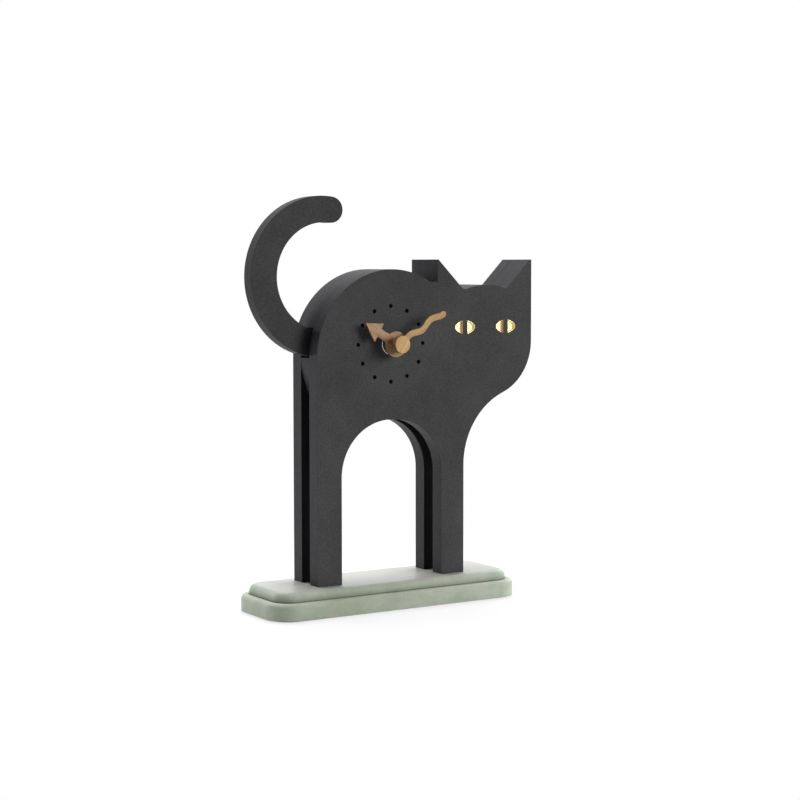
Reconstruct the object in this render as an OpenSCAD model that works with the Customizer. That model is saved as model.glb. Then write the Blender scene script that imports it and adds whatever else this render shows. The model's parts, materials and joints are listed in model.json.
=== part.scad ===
// Cat tail clock: a standing clock in the shape of a cat, seen from its side.
// Three boards make the cat: a front and a back board with the legs, and a core
// board between them that ends above the legs. The tail is a loose board that
// rocks on a pin between the front and the back board. A quartz movement sits in
// a pocket behind the dial, and the cat stands on a base of two stacked slabs.
//
// +X is to the right of the dial, +Y is towards the back, +Z is up.
// The origin is the middle of the face that the clock stands on.

/* [Boards] */
// Thickness of the front board
front_t = 9; // [8:0.5:12]
// Thickness of the core board
core_t = 9; // [8.6:0.1:10]
// Thickness of the back board
back_t = 9; // [8:0.5:12]

/* [Cat body] */
// Radius of the round body
body_r = 47.1; // [46:0.1:52]
// Height of the body's centre above the base
body_rise = 123.8; // [115:0.1:135]
// Width of each leg
leg_w = 14.9; // [12:0.1:16]
// Width of the arch's level top between its two round shoulders
arch_flat = 3.4; // [1:0.1:10]
// Height of the arch above the base
arch_rise = 88.7; // [80:0.1:92]
// How far the core board stands back from the arch
core_setback = 8; // [6:0.1:9]

/* [Cat head] */
// Radius of the jaw
head_r = 31.2; // [29:0.1:33]
// Distance of the head's centre to the right of the body's centre
head_dx = 62.5; // [58:0.1:66]
// Height of the head's centre above the body's centre
head_dz = 6; // [2:0.1:10]
// Width of the head across the ears
head_w = 64; // [60:0.1:68]
// Height of the crown between the ears above the head's centre
crown_rise = 32.2; // [29:0.1:36]
// Radius of the crown's curve
crown_r = 44.9; // [40:0.1:60]
// Height of the ear tips above the head's centre
ear_rise = 46.4; // [42:0.1:50]
// Width of the blunt tip of the left ear
left_tip_w = 0.6; // [0.4:0.1:2]
// Width of the blunt tip of the right ear
right_tip_w = 1.2; // [0.4:0.1:2]
// Radius of the chest's hollow curve
chest_r = 43; // [36:0.1:48]
// Radius of the fillet between the back and the left ear
nape_r = 2; // [1:0.1:4]
// Radius of the fillets between the ears and the crown
valley_r = 3; // [1:0.1:5]

/* [Tail] */
// Width of the tail at its root
tail_w = 14.7; // [11:0.1:16]
// Radius of the tail's curve along its middle
tail_r = 36.2; // [33:0.1:38]
// Radius of the tail's inner curve
hollow_r = 29.3; // [28:0.1:31]
// Distance of the inner curve's centre to the right of the outer curve's centre
hollow_dx = 1.3; // [0:0.1:2]
// Thickness of the tail's board
tail_t = 8; // [6:0.1:8.3]
// Angle from straight up at which the tail's tip ends
tail_end = 8.5; // [-20:0.1:25]
// Distance of the tail's pivot inside the edge of the body
tail_inset = 6.9; // [6.5:0.1:8]
// Height of the tail's pivot above the body's centre
tail_dz = 6.9; // [3:0.1:10]
// Room between the tail and its slot in the core board
tail_gap = 0.9; // [0.8:0.1:1.4]
// Radius of the tail's pivot pin
tail_pin_r = 1.5; // [1:0.1:2.5]
// Depth of the pin in the front and in the back board
tail_pin_seat = 4; // [2:0.1:6]
// Radius of the washers at both sides of the tail
tail_washer_r = 5.5; // [4:0.1:6.5]

/* [Dial] */
// Distance of the dial's centre to the right of the body's centre
dial_dx = -0.9; // [-1.5:0.1:1]
// Height of the dial's centre above the body's centre
dial_dz = 6.4; // [5:0.1:7]
// Radius of the circle of hour dots
dial_r = 20.7; // [18:0.1:24]
// Radius of each hour dot
dot_r = 1.15; // [0.8:0.05:1.8]
// Depth of each hour dot
dot_depth = 3; // [1:0.1:5]

/* [Hands] */
// Direction of the hour hand, in degrees from the right, turning left
hour_angle = 148.6; // [0:0.1:360]
// Direction of the minute hand, in degrees from the right, turning left
minute_angle = 31.3; // [0:0.1:360]
// Thickness of the hour hand
hour_hand_t = 1.3; // [0.8:0.1:1.6]
// Radius of the hour hand's hub
hour_hub_r = 7; // [5:0.1:9]
// Length of the hour hand from the dial's centre to its tip
hour_len = 22.6; // [19:0.1:26]
// Distance of the arrow head's back edge from the dial's centre
arrow_base = 12.5; // [10:0.1:15]
// Width of the arrow head
arrow_w = 11.6; // [8:0.1:14]
// Width of the hour hand's bar
hour_bar_w = 4.75; // [3:0.05:6]
// Thickness of the minute hand
minute_hand_t = 1.2; // [0.8:0.1:1.6]
// Radius of the minute hand's hub
minute_hub_r = 4.4; // [3:0.1:6]
// Width of the wavy minute hand
wave_w = 3.4; // [2.4:0.1:4.4]
// Length of the minute hand from the dial's centre to its tip
minute_len = 34.4; // [28:0.1:36]
// Distance between a crest and the next hollow of the wave
wave_step = 7.9; // [6:0.1:10]
// Height of the wave from hollow to crest
wave_h = 2.0; // [1:0.1:2.4]
// Height of the wave's hollows above the line from the dial's centre to the tip
wave_low = -1.2; // [-1.8:0.1:0.4]
// Distance of the wave's first crest from the dial's centre
wave_start = 8.4; // [6:0.1:10]
// Radius of the wooden cap over the hands
cap_r = 4.85; // [4:0.05:6]
// Length of the wooden cap
cap_len = 3.4; // [2:0.1:5]
// Distance of the hour hand's front from the dial
hour_hand_front = 5.7; // [5.4:0.1:7]
// Distance of the minute hand's front from the dial
minute_hand_front = 9.1; // [8.8:0.1:11]

/* [Eyes] */
// Distance between the centres of the eyes
eye_pitch = 27.7; // [24:0.1:31]
// Distance of the middle between the eyes from the head's centre
eye_dx = -0.6; // [-2:0.1:2]
// Height of the eyes above the head's centre
eye_dz = 8.6; // [4:0.1:14]
// Width of an eye
eye_w = 13.2; // [11:0.1:16]
// Height of an eye
eye_h = 7.7; // [6:0.1:10]
// How much of each pointed end of an eye is rounded away
eye_blunt = 0.7; // [0.2:0.1:1.5]
// Width of the slit between the halves of an eye
slit_w = 3.2; // [2:0.1:4]
// Depth of the eye sockets
eye_depth = 1.6; // [1:0.1:4]
// Thickness of the brass
brass_t = 0.25; // [0.2:0.05:0.6]

/* [Base] */
// Width of the lower slab
lower_w = 157.6; // [150:0.1:166]
// Depth of the lower slab
lower_d = 53.2; // [48:0.1:58]
// Height of the lower slab
lower_h = 9.1; // [8:0.1:14]
// Radius of the lower slab's corners, seen from above
lower_corner_r = 14.4; // [11:0.1:20]
// Radius of the lower slab's top edge
lower_edge_r = 2.6; // [1:0.1:4]
// How far the upper slab stands back on every side
slab_step = 4.4; // [3:0.1:6]
// Height of the upper slab
upper_h = 5.3; // [4.5:0.1:8]
// Radius of the upper slab's top edge
upper_edge_r = 3.8; // [1:0.1:4]
// Thickness of the felt under the base
felt_t = 0.6; // [0.5:0.1:1.5]
// How far the felt stands back from the edge of the lower slab
felt_inset = 2.5; // [1:0.1:8]

/* [Screws and dowels] */
// Radius of the leg screws' shanks
screw_r = 1.75; // [1.25:0.05:2.25]
// Radius of the leg screws' heads
screw_head_r = 3.5; // [3:0.1:4]
// Height of the leg screws' countersunk heads
screw_head_h = 2.4; // [1.8:0.1:3]
// Length of the leg screws
screw_len = 40; // [30:1:50]
// Radius of the dowels between the boards
dowel_r = 2.5; // [1.5:0.1:3]
// Depth of the dowels in the front and in the back board
dowel_seat = 4; // [2:0.1:6]
// Distance of the dowels' centres inside the edges of the body and of the jaw
dowel_in = 6; // [5:0.1:8]

/* [Movement] */
// Room for the spring contact at the battery's flat end
leaf_room = 2.6; // [2:0.1:3.5]
// Depth of the movement's case
case_d = 16; // [15.8:0.1:17]
// Radius of the case's two lower corners
case_corner_r = 5; // [4:0.1:6]
// Radius of the case's two upper corners
case_top_r = 9.5; // [6:0.1:10]
// Wall thickness of the case
shell_t = 1.2; // [1:0.05:1.25]
// Room around the case in its pocket
case_gap = 0.5; // [0.3:0.1:0.8]
// Thickness of the rubber gasket behind the dial
gasket_t = 1; // [0.6:0.1:1.2]
// Radius of the threaded bush
bush_r = 4; // [3.8:0.05:4.4]
// Thickness of the washer on the dial
washer_t = 0.8; // [0.5:0.1:1]
// Radius of the washer on the dial
washer_r = 6; // [6:0.1:7.5]
// Thickness of the nut on the dial
nut_t = 2; // [1.5:0.1:2.4]
// Width of the nut across its flats
nut_af = 10.6; // [10:0.1:12]
// Thickness of the wheels and plates in the train
wheel_t = 0.8; // [0.7:0.05:0.85]
// Radius of the setting knob
knob_r = 5.5; // [4:0.1:6]
// Thickness of the setting knob
knob_t = 2.2; // [1.5:0.1:3]
// Radius of the battery
battery_r = 7.25; // [7:0.05:7.3]
// Length of the battery
battery_len = 50.5; // [49:0.1:50.8]

/* [Hidden] */
$fn = 64;

// Clearances
run_gap = 0.05;   // between a turning shaft and its hole
fit_gap = 0.03;   // around a piece that is pressed or glued in
skin = 0.01;      // overrun of a cut past the face that it opens

// Where the boards lie, from front to back
stack_t = front_t + core_t + back_t;
y_dial = -stack_t / 2;
y_core = y_dial + front_t;
y_back = y_core + core_t;
y_rear = y_back + back_t;

// Heights
upper_z = felt_t + lower_h;
base_z = upper_z + upper_h;
body_z = base_z + body_rise;
arch_z = base_z + arch_rise;
gap_w = 2 * (body_r - leg_w);
arch_r = (gap_w - arch_flat) / 2;

// Head
head_c = [head_dx, body_z + head_dz];
head_right = head_dx + head_r;
head_left = head_right - head_w;
ear_z = head_c[1] + ear_rise;
crown_z = head_c[1] + crown_rise;
crown_c = [head_dx, crown_z - crown_r];

// Dial
dial_c = [dial_dx, body_z + dial_dz];

// Tail: the pivot lies on the tail's middle line, at its lowest stretch
pivot_z = body_z + tail_dz;
pivot_x = tail_inset - sqrt(body_r * body_r - tail_dz * tail_dz);
pivot_turn = -2.7;
tail_c = [pivot_x - tail_r * sin(pivot_turn), pivot_z + tail_r * cos(pivot_turn)];
tail_outer_r = tail_r + tail_w / 2;
washer_gap = 0.05;

// Leg screws stand in the middle of each leg's end
leg_x = body_r - leg_w / 2;
leg_ys = [(y_dial + y_core) / 2, (y_back + y_rear) / 2];

// Dowels, as places on the boards
function polar(r, a) = [r * cos(a), r * sin(a)];
dowel_places = concat(
    [for (a = [30, 225, 315]) [0, body_z] + polar(body_r - dowel_in, a)],
    [for (a = [90, -59]) head_c + polar(head_r - dowel_in, a)]);

// Movement, from front to back; its case is as wide and high as the battery's bay asks for
contact_t = 0.5;
case_w = battery_len + leaf_room + contact_t + 2 * shell_t;
y_cover = y_core + gasket_t;
y_train = y_cover + shell_t;
y_case_end = y_cover + case_d;
layer_gap = 0.3;
layer_0 = 0.2;
layer_step = wheel_t + layer_gap;
function layer_y(n) = y_train + layer_0 + n * layer_step;
hand_y = [y_dial - hour_hand_front, y_dial - minute_hand_front];
hour_tube_r = 2.55;
bush_bore_r = hour_tube_r + run_gap;
minute_tube_r = 1.75;
arbor_r = 0.5;
thin_arbor_r = 0.4;
post_r = 0.7;
knob_shaft_r = 1.2;
bridge_layer = 9;
board_layer = 10;

// Wheel train: tooth counts and modules
pressure = 28;
hour_teeth = 40;
motion_pinion_teeth = 10;
motion_teeth = 36;
cannon_teeth = 12;
centre_teeth = 60;
third_pinion_teeth = 8;
third_teeth = 64;
second_pinion_teeth = 8;
second_teeth = 60;
step_pinion_teeth = 12;
step_teeth = 48;
rotor_teeth = 8;
knob_teeth = 12;
cannon_m = 0.5;
motion_dist = (cannon_teeth + motion_teeth) * cannon_m / 2;
hour_m = 2 * motion_dist / (hour_teeth + motion_pinion_teeth);
centre_m = 0.32;
third_dist = (centre_teeth + third_pinion_teeth) * centre_m / 2;
third_m = 2 * third_dist / (third_teeth + second_pinion_teeth);
second_m = 0.25;
step_dist = (second_teeth + step_pinion_teeth) * second_m / 2;
rotor_dist = (step_teeth + rotor_teeth) * second_m / 2;
knob_dist = (motion_teeth + knob_teeth) * cannon_m / 2;

// Wheel train: directions from one axis to the next, and the axes themselves
motion_dir = 45;
third_dir = 135;
step_dir = 45;
rotor_dir = 80;
knob_dir = -20;
motion_c = polar(motion_dist, motion_dir);
third_c = polar(third_dist, third_dir);
step_c = polar(step_dist, step_dir);
rotor_c = step_c + polar(rotor_dist, rotor_dir);
knob_c = motion_c + polar(knob_dist, knob_dir);

// Phase of the wheel that meshes with one whose tooth points to angle a
function mate(dir, n, a, n2) = dir + 180 + 180 / n2 - (a - dir) * n / n2;
motion_phase = mate(motion_dir, cannon_teeth, 0, motion_teeth);
hour_phase = mate(motion_dir + 180, motion_pinion_teeth, 0, hour_teeth);
third_phase = mate(third_dir, centre_teeth, 0, third_pinion_teeth);
second_phase = mate(third_dir + 180, third_teeth, 0, second_pinion_teeth);
step_phase = mate(step_dir, second_teeth, 0, step_pinion_teeth);
rotor_phase = mate(rotor_dir, step_teeth, 0, rotor_teeth);
knob_phase = mate(knob_dir, motion_teeth, motion_phase, knob_teeth);

// Posts that carry the plates: places and radii
post_places = [[-12.5, -8], [12.5, -8], [18, 16], [-18, 16]];
post_radii = [1.8, 1.5, 1.2, 0.9];
post_rim = 2;
edge_room = 1.3;
wall_room = 4.8;
stator_layer = 7;
post_steps = [layer_y(3), layer_y(stator_layer), layer_y(bridge_layer), layer_y(board_layer) + wheel_t];

// Motor
magnet_r = 3;
magnet_t = 1.6;
coil_z = 22.4;
coil_r = 3.1;
coil_w = 28;
core_w = 2 * post_places[2][0] + 5;
core_h = 2;
core_bar_t = 0.8;
stator_leg_w = 5;
stator_z = [10.5, 15.5];
stator_top = 25;
stator_ring_r = 5;

// Battery bay, from the case's inner wall up to its partition
case_in = case_w / 2 - shell_t;
bay_top = -11.6;
bay_mid = (bay_top - case_in) / 2;
bay_corner_r = 2.6;
battery_y = y_train + battery_r + 0.2;
nub_len = 1;
nub_r = 2.75;
crystal_r = 0.75;

// Colours
board_black = [0.17, 0.17, 0.18];
sage = [0.62, 0.68, 0.58];
hand_wood = [0.80, 0.65, 0.46];
brass = [0.85, 0.72, 0.35];
steel = [0.75, 0.75, 0.77];
plastic_black = [0.12, 0.12, 0.13];
plastic_white = [0.92, 0.91, 0.87];
copper = [0.72, 0.42, 0.24];

// ---- Helpers ----

// Extrudes a front view drawn in X and Z into a board from y to y + t
module board(y, t) translate([0, y + t, 0]) rotate([90, 0, 0]) linear_extrude(t) children();

// A round bar along Y from y0 to y1 at the place c
module bar(c, y0, y1, r) translate([c[0], y1, c[1]]) rotate([90, 0, 0]) cylinder(h = y1 - y0, r = r);

module round_rect(w, h, r) {
    square([w - 2 * r, h], center = true);
    square([w, h - 2 * r], center = true);
    for (sx = [-1, 1], sy = [-1, 1])
        translate([sx * (w / 2 - r), sy * (h / 2 - r)]) circle(r);
}

// Centre of the circle of radius r that touches two circles from below
function touch_c(a, ra, b, rb, r) =
    let (d = norm(b - a), u = (b - a) / d,
         along = ((ra + r) * (ra + r) - (rb + r) * (rb + r) + d * d) / (2 * d),
         down = sqrt((ra + r) * (ra + r) - along * along))
    a + along * u + down * [u[1], -u[0]];

// Involute gear in the plane, one tooth pointing to angle 0
function inv(a) = tan(a) * 180 / PI - a;
addendum = 0.8;
dedendum = 1.1;
tooth_share = 0.44;
flank_steps = 3;
function tooth_half(r, n, m) =
    let (rp = n * m / 2, rb = rp * cos(pressure), rr = max(r, rb))
    180 * tooth_share / n + inv(pressure) - inv(acos(rb / rr));
function flank(n, m) =
    let (rp = n * m / 2, rf = rp - dedendum * m, ra = rp + addendum * m, rb = max(rf, rp * cos(pressure)))
    concat(rb > rf ? [rf] : [], [for (i = [0:flank_steps]) rb + (ra - rb) * i / flank_steps]);
module gear(n, m) {
    rs = flank(n, m);
    k = len(rs) - 1;
    polygon([
        for (i = [0:n - 1])
            each concat(
                [for (j = [0:k]) polar(rs[j], i * 360 / n - tooth_half(rs[j], n, m))],
                [for (j = [k:-1:0]) polar(rs[j], i * 360 / n + tooth_half(rs[j], n, m))])
    ]);
}

// A wheel of the train in its layer, at its place from the dial's centre
module wheel(c, n, m, phase, layer)
    translate([dial_c[0] + c[0], 0, dial_c[1] + c[1]])
        board(layer_y(layer), wheel_t) rotate(phase) gear(n, m);
module arbor(c, y0, y1, r) bar(dial_c + c, y0, y1, r);

// ---- Outlines ----

module ears() {
    reach = ear_rise - crown_rise / 2;
    low = ear_z - reach;
    left = head_left + left_tip_w;
    right = head_right - right_tip_w;
    polygon([[head_left, ear_z], [head_left, low], [left + reach, low], [left, ear_z]]);
    polygon([[head_right, ear_z], [right, ear_z], [right - reach, low], [head_right, low]]);
}

module head_outline() {
    translate(head_c) circle(head_r);
    intersection() {
        translate([head_left, head_c[1]]) square([head_w, crown_rise]);
        translate(crown_c) circle(crown_r);
    }
    ears();
    for (side = [-1, 1]) valley_fillet(side);
}

// Fills the corner between the crown and the slant of an ear: side -1 is the left ear
module valley_fillet(side) {
    tip = [side > 0 ? head_right - right_tip_w : head_left + left_tip_w, ear_z];
    out = [-side, 1] / sqrt(2);
    down = [-side, -1] / sqrt(2);
    a = tip + valley_r * out - crown_c;
    b = a * down;
    c = crown_c + a - (b + sqrt(b * b - a * a + pow(crown_r + valley_r, 2))) * down;
    in_ear = c - (valley_r + 1) * out;
    in_crown = crown_c + (crown_r - 1) / (crown_r + valley_r) * (c - crown_c);
    low = (in_ear + in_crown) / 2 - [0, 2];
    difference() {
        polygon(side > 0 ? [c, in_crown, low, in_ear] : [c, in_ear, low, in_crown]);
        translate(c) circle(valley_r + skin);
    }
}

// Fills the corner between the round back and the upright edge of the left ear
module nape_fillet() {
    fx = head_left - nape_r;
    c = [fx, body_z + sqrt(pow(body_r + nape_r, 2) - fx * fx)];
    body_c = [0, body_z];
    difference() {
        polygon([[head_left + 1, c[1]], c, body_c, [head_left + 1, body_z]]);
        translate(c) circle(nape_r + skin);
    }
}

// Fills the corner under the jaw, up to a hollow curve about c
module chest(c, foot) difference() {
    polygon([foot, c, head_c, [0, body_z]]);
    translate(c) circle(chest_r + skin);
}

module leg_gap(grow) {
    shoulder = gap_w / 2 - arch_r;
    for (s = [-1, 1])
        translate([s * shoulder, arch_z - arch_r]) circle(arch_r + grow);
    translate([-shoulder, base_z - 1]) square([2 * shoulder, arch_z + grow - base_z + 1]);
    translate([-gap_w / 2 - grow, base_z - 1]) square([gap_w + 2 * grow, arch_z - arch_r - base_z + 1]);
}

module cat_outline() {
    chest_x = body_r + chest_r;
    chest_c = [chest_x, head_c[1] - sqrt(pow(head_r + chest_r, 2) - pow(chest_x - head_dx, 2))];
    difference() {
        union() {
            translate([0, body_z]) circle(body_r);
            translate([-body_r, base_z]) square([2 * body_r, body_rise]);
            head_outline();
            nape_fillet();
            chest(chest_c, [body_r - 1, chest_c[1]]);
        }
        leg_gap(0);
    }
}

module core_outline() {
    body_c = [0, body_z];
    c = touch_c(body_c, body_r, head_c, head_r, chest_r);
    difference() {
        union() {
            translate(body_c) circle(body_r);
            head_outline();
            nape_fillet();
            chest(c, (c + body_c) / 2);
        }
        leg_gap(core_setback);
    }
}

// The tail's band: its inner curve isn't concentric with its outer one, so it's
// widest at the left. Each end is a circle that touches both curves.
function end_c(a) =
    let (both = hollow_r + tail_outer_r)
    polar((both * both - hollow_dx * hollow_dx) / (2 * (both - hollow_dx * cos(a))), a);
module tail_outline(grow) translate(tail_c) {
    ends = [90 - tail_end, 270 + pivot_turn];
    intersection() {
        difference() {
            circle(tail_outer_r + grow);
            translate([hollow_dx, 0]) circle(hollow_r - grow);
        }
        polygon(concat(
            [[hollow_dx, 0], end_c(ends[0])],
            [for (i = [0:6]) polar(2 * tail_outer_r, ends[0] + (ends[1] - ends[0]) * i / 6)],
            [end_c(ends[1])]));
    }
    for (a = ends) translate(end_c(a)) circle(tail_outer_r - norm(end_c(a)) + grow);
}

module case_outline(grow) case_shape(case_w / 2 + grow, case_corner_r + grow, case_top_r + grow);

// A square of half width w with lower corners of radius r and upper corners of radius top_r
module case_shape(w, r, top_r) {
    translate([-w, r - w]) square([2 * w, 2 * w - r - top_r]);
    translate([r - w, -w]) square([2 * (w - r), w]);
    translate([top_r - w, 0]) square([2 * (w - top_r), w]);
    for (s = [-1, 1]) {
        translate([s * (w - r), r - w]) circle(r);
        translate([s * (w - top_r), w - top_r]) circle(top_r);
    }
}

// One half of an eye: side -1 is the left half, 1 the right half
module half_eye(side, shrink) {
    r = (pow(eye_w + 2 * eye_blunt, 2) + eye_h * eye_h) / (4 * eye_h);
    intersection() {
        circle(eye_w / 2 - shrink);
        translate([0, r - eye_h / 2]) circle(r - shrink);
        translate([0, eye_h / 2 - r]) circle(r - shrink);
        translate([side > 0 ? slit_w / 2 + shrink : -eye_w, -eye_h])
            square([eye_w - slit_w / 2 - shrink, 2 * eye_h]);
    }
}
function eye_c(eye) = head_c + [eye_dx + eye * eye_pitch / 2, eye_dz];

// A slab with round corners and a rounded top edge, standing on z
module slab(w, d, h, corner, edge, z) translate([0, 0, z]) {
    translate([0, (d - 2 * corner) / 2, 0]) rotate([90, 0, 0]) linear_extrude(d - 2 * corner) slab_edge(w, h, edge);
    translate([-(w - 2 * corner) / 2, 0, 0]) rotate([90, 0, 90]) linear_extrude(w - 2 * corner) slab_edge(d, h, edge);
    for (sx = [-1, 1], sy = [-1, 1])
        translate([sx * (w / 2 - corner), sy * (d / 2 - corner), 0])
            rotate_extrude() intersection() {
                slab_edge(2 * corner, h, edge);
                square([corner, h]);
            }
}
module slab_edge(w, h, edge) intersection() {
    translate([-w / 2, 0]) square([w, h]);
    union() {
        translate([-w / 2, 0]) square([w, h - edge]);
        translate([-w / 2 + edge, 0]) square([w - 2 * edge, h]);
        for (s = [-1, 1]) translate([s * (w / 2 - edge), h - edge]) circle(edge);
    }
}

module at_legs() for (x = [-leg_x, leg_x], y = leg_ys) translate([x, y, felt_t]) children();

// ---- Base ----

module base_felt() color(plastic_black)
    linear_extrude(felt_t)
        round_rect(lower_w - 2 * felt_inset, lower_d - 2 * felt_inset, lower_corner_r - felt_inset);

module base_lower_slab() color(sage) difference() {
    slab(lower_w, lower_d, lower_h, lower_corner_r, lower_edge_r, felt_t);
    at_legs() {
        cylinder(h = lower_h + skin, r = screw_r + run_gap);
        cylinder(h = screw_head_h, r1 = screw_head_r + run_gap, r2 = screw_r + run_gap);
    }
}

module base_upper_slab() color(sage) difference() {
    slab(lower_w - 2 * slab_step, lower_d - 2 * slab_step, upper_h, lower_corner_r - slab_step, upper_edge_r, upper_z);
    at_legs() cylinder(h = base_z - felt_t + skin, r = screw_r + run_gap);
}

module leg_screws() color(steel) at_legs() {
    point = screw_r * 2;
    cylinder(h = screw_head_h, r1 = screw_head_r, r2 = screw_r);
    cylinder(h = screw_len - point, r = screw_r);
    translate([0, 0, screw_len - point]) cylinder(h = point, r1 = screw_r, r2 = screw_r / 4);
}

module leg_pilot_holes() at_legs() cylinder(h = screw_len + 1, r = screw_r + fit_gap);

// ---- Cat ----

module dowel_holes(y0, y1) for (p = dowel_places) bar(p, y0, y1, dowel_r + fit_gap);

module front_board() color(board_black) difference() {
    board(y_dial, front_t) cat_outline();
    bar(dial_c, y_dial - skin, y_core + skin, bush_r + 3 * run_gap);
    for (i = [0:11]) bar(dial_c + polar(dial_r, 30 * i), y_dial - skin, y_dial + dot_depth, dot_r);
    for (eye = [-1, 1], side = [-1, 1])
        translate([eye_c(eye)[0], 0, eye_c(eye)[1]])
            board(y_dial - skin, eye_depth + skin) half_eye(side, 0);
    dowel_holes(y_core - dowel_seat, y_core + skin);
    bar([pivot_x, pivot_z], y_core - tail_pin_seat, y_core + skin, tail_pin_r + fit_gap);
    leg_pilot_holes();
}

module core_board() color(board_black) difference() {
    board(y_core, core_t) difference() {
        core_outline();
        tail_outline(tail_gap);
        translate(dial_c) case_outline(case_gap);
    }
    dowel_holes(y_core - skin, y_back + skin);
}

module back_board() color(board_black) difference() {
    board(y_back, back_t) difference() {
        cat_outline();
        translate(dial_c) case_outline(case_gap);
    }
    dowel_holes(y_back - skin, y_back + dowel_seat);
    bar([pivot_x, pivot_z], y_back - skin, y_back + tail_pin_seat, tail_pin_r + fit_gap);
    leg_pilot_holes();
}

module board_dowels() color(hand_wood)
    for (p = dowel_places) bar(p, y_core - dowel_seat, y_back + dowel_seat, dowel_r);

module tail() color(board_black) difference() {
    board((y_core + y_back - tail_t) / 2, tail_t) tail_outline(0);
    bar([pivot_x, pivot_z], y_core, y_back, tail_pin_r + run_gap);
}

module tail_pin() color(steel)
    bar([pivot_x, pivot_z], y_core - tail_pin_seat, y_back + tail_pin_seat, tail_pin_r);

module tail_washers() color(plastic_white) {
    t = (core_t - tail_t) / 2 - washer_gap;
    for (y = [y_core, y_back - t]) difference() {
        bar([pivot_x, pivot_z], y, y + t, tail_washer_r);
        bar([pivot_x, pivot_z], y - skin, y + t + skin, tail_pin_r + run_gap);
    }
}

// Each half eye is a shallow brass tray, open to the front
module eye_brass(eye, side) color(brass) translate([eye_c(eye)[0], 0, eye_c(eye)[1]]) difference() {
    board(y_dial, eye_depth) half_eye(side, fit_gap);
    board(y_dial - skin, eye_depth - brass_t + skin) half_eye(side, fit_gap + brass_t);
}
module left_eye_outer_brass() eye_brass(-1, -1);
module left_eye_inner_brass() eye_brass(-1, 1);
module right_eye_inner_brass() eye_brass(1, -1);
module right_eye_outer_brass() eye_brass(1, 1);

// ---- Dial and hands ----

module ring(y, t, r, hole_r) difference() {
    bar(dial_c, y, y + t, r);
    bar(dial_c, y - skin, y + t + skin, hole_r);
}

module dial_gasket() color(plastic_black) ring(y_core, gasket_t, washer_r + 3, bush_r + run_gap);

module dial_washer() color(steel) ring(y_dial - washer_t, washer_t, washer_r, bush_r + run_gap);

module dial_nut() color(steel) difference() {
    y = y_dial - washer_t - nut_t;
    translate([dial_c[0], 0, dial_c[1]]) board(y, nut_t) intersection() {
        circle(nut_af / sqrt(3), $fn = 6);
        circle(nut_af / 2 + 0.4);
    }
    bar(dial_c, y - skin, y + nut_t + skin, bush_r + fit_gap);
}

module hour_hand() color(hand_wood)
    translate([dial_c[0], 0, dial_c[1]]) board(hand_y[0], hour_hand_t) rotate(hour_angle) difference() {
        union() {
            circle(hour_hub_r);
            translate([0, -hour_bar_w / 2]) square([arrow_base + 1, hour_bar_w]);
            polygon([[arrow_base, -arrow_w / 2], [hour_len, 0], [arrow_base, arrow_w / 2]]);
        }
        circle(hour_tube_r + fit_gap);
    }

// The minute hand's wavy strip: its middle line, its slope and its two edges
function wave_z(x) = wave_low + wave_h / 2 * (1 + cos(180 * (x - wave_start) / wave_step));
function wave_slope(x) = -wave_h * PI / 2 / wave_step * sin(180 * (x - wave_start) / wave_step);
function wave_edge(x, side) = [x, wave_z(x)] + side * wave_w / 2 * polar(1, atan(wave_slope(x)) + 90);
module minute_hand() color(hand_wood) {
    wave_end = minute_len - wave_w / 2;
    steps = 44;
    turn = atan(wave_slope(wave_end));
    translate([dial_c[0], 0, dial_c[1]]) board(hand_y[1], minute_hand_t) rotate(minute_angle) difference() {
        union() {
            circle(minute_hub_r);
            polygon(concat(
                [for (i = [0:steps]) wave_edge(wave_end * i / steps, -1)],
                [for (i = [1:9]) [wave_end, wave_z(wave_end)] + polar(wave_w / 2, turn - 90 + 18 * i)],
                [for (i = [steps:-1:0]) wave_edge(wave_end * i / steps, 1)]));
        }
        circle(minute_tube_r + fit_gap);
    }
}

module hand_cap() color(hand_wood) translate([dial_c[0], hand_y[1], dial_c[1]]) rotate([90, 0, 0]) rotate_extrude() {
    edge = 0.5;
    square([cap_r, cap_len - edge]);
    square([cap_r - edge, cap_len]);
    translate([cap_r - edge, cap_len - edge]) circle(edge);
}

// ---- Movement ----

module in_case(y0, y1) translate([dial_c[0], 0, dial_c[1]]) board(y0, y1 - y0) children();

module movement_cover() color(plastic_black) {
    bush_front = y_dial - washer_t - nut_t - 0.5;
    difference() {
        union() {
            in_case(y_cover, y_train) case_outline(0);
            bar(dial_c, bush_front, y_cover + skin, bush_r);
            for (p = post_places, i = [0:3])
                arbor(p, y_train - skin, post_steps[i], post_radii[i]);
            arbor(motion_c, y_train - skin, layer_y(1) + wheel_t, post_r);
        }
        bar(dial_c, bush_front - skin, y_train + skin, bush_bore_r);
        arbor(third_c, y_train - shell_t / 2, y_train + skin, arbor_r + run_gap);
        arbor(knob_c, y_train - shell_t / 2, y_train + skin, knob_shaft_r + run_gap);
    }
}

module movement_case() color(plastic_black) difference() {
    in_case(y_train, y_case_end) case_outline(0);
    in_case(y_train - skin, y_case_end - shell_t) intersection() {
        case_shape(case_in, case_corner_r - shell_t, case_top_r - shell_t);
        translate([-case_in, bay_top + shell_t]) square([2 * case_in, 2 * case_in]);
    }
    in_case(y_train - skin, y_case_end + skin) intersection() {
        round_rect(2 * case_in, 2 * case_in, bay_corner_r);
        translate([-case_in, -case_in]) square([2 * case_in, bay_top + case_in]);
    }
    arbor(knob_c, y_case_end - shell_t - skin, y_case_end + skin, knob_shaft_r + run_gap);
}

module plate_outline() {
    low = post_places[1] + [post_rim, -post_rim];
    high = post_places[2] + [post_rim, post_rim];
    neck = high[0] - low[0];
    polygon([
        [-low[0], low[1]], low, [low[0], high[1] - 2 * neck], high - [0, neck],
        high, [-high[0], high[1]], [-high[0], high[1] - neck], [-low[0], high[1] - 2 * neck]
    ]);
}

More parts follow.
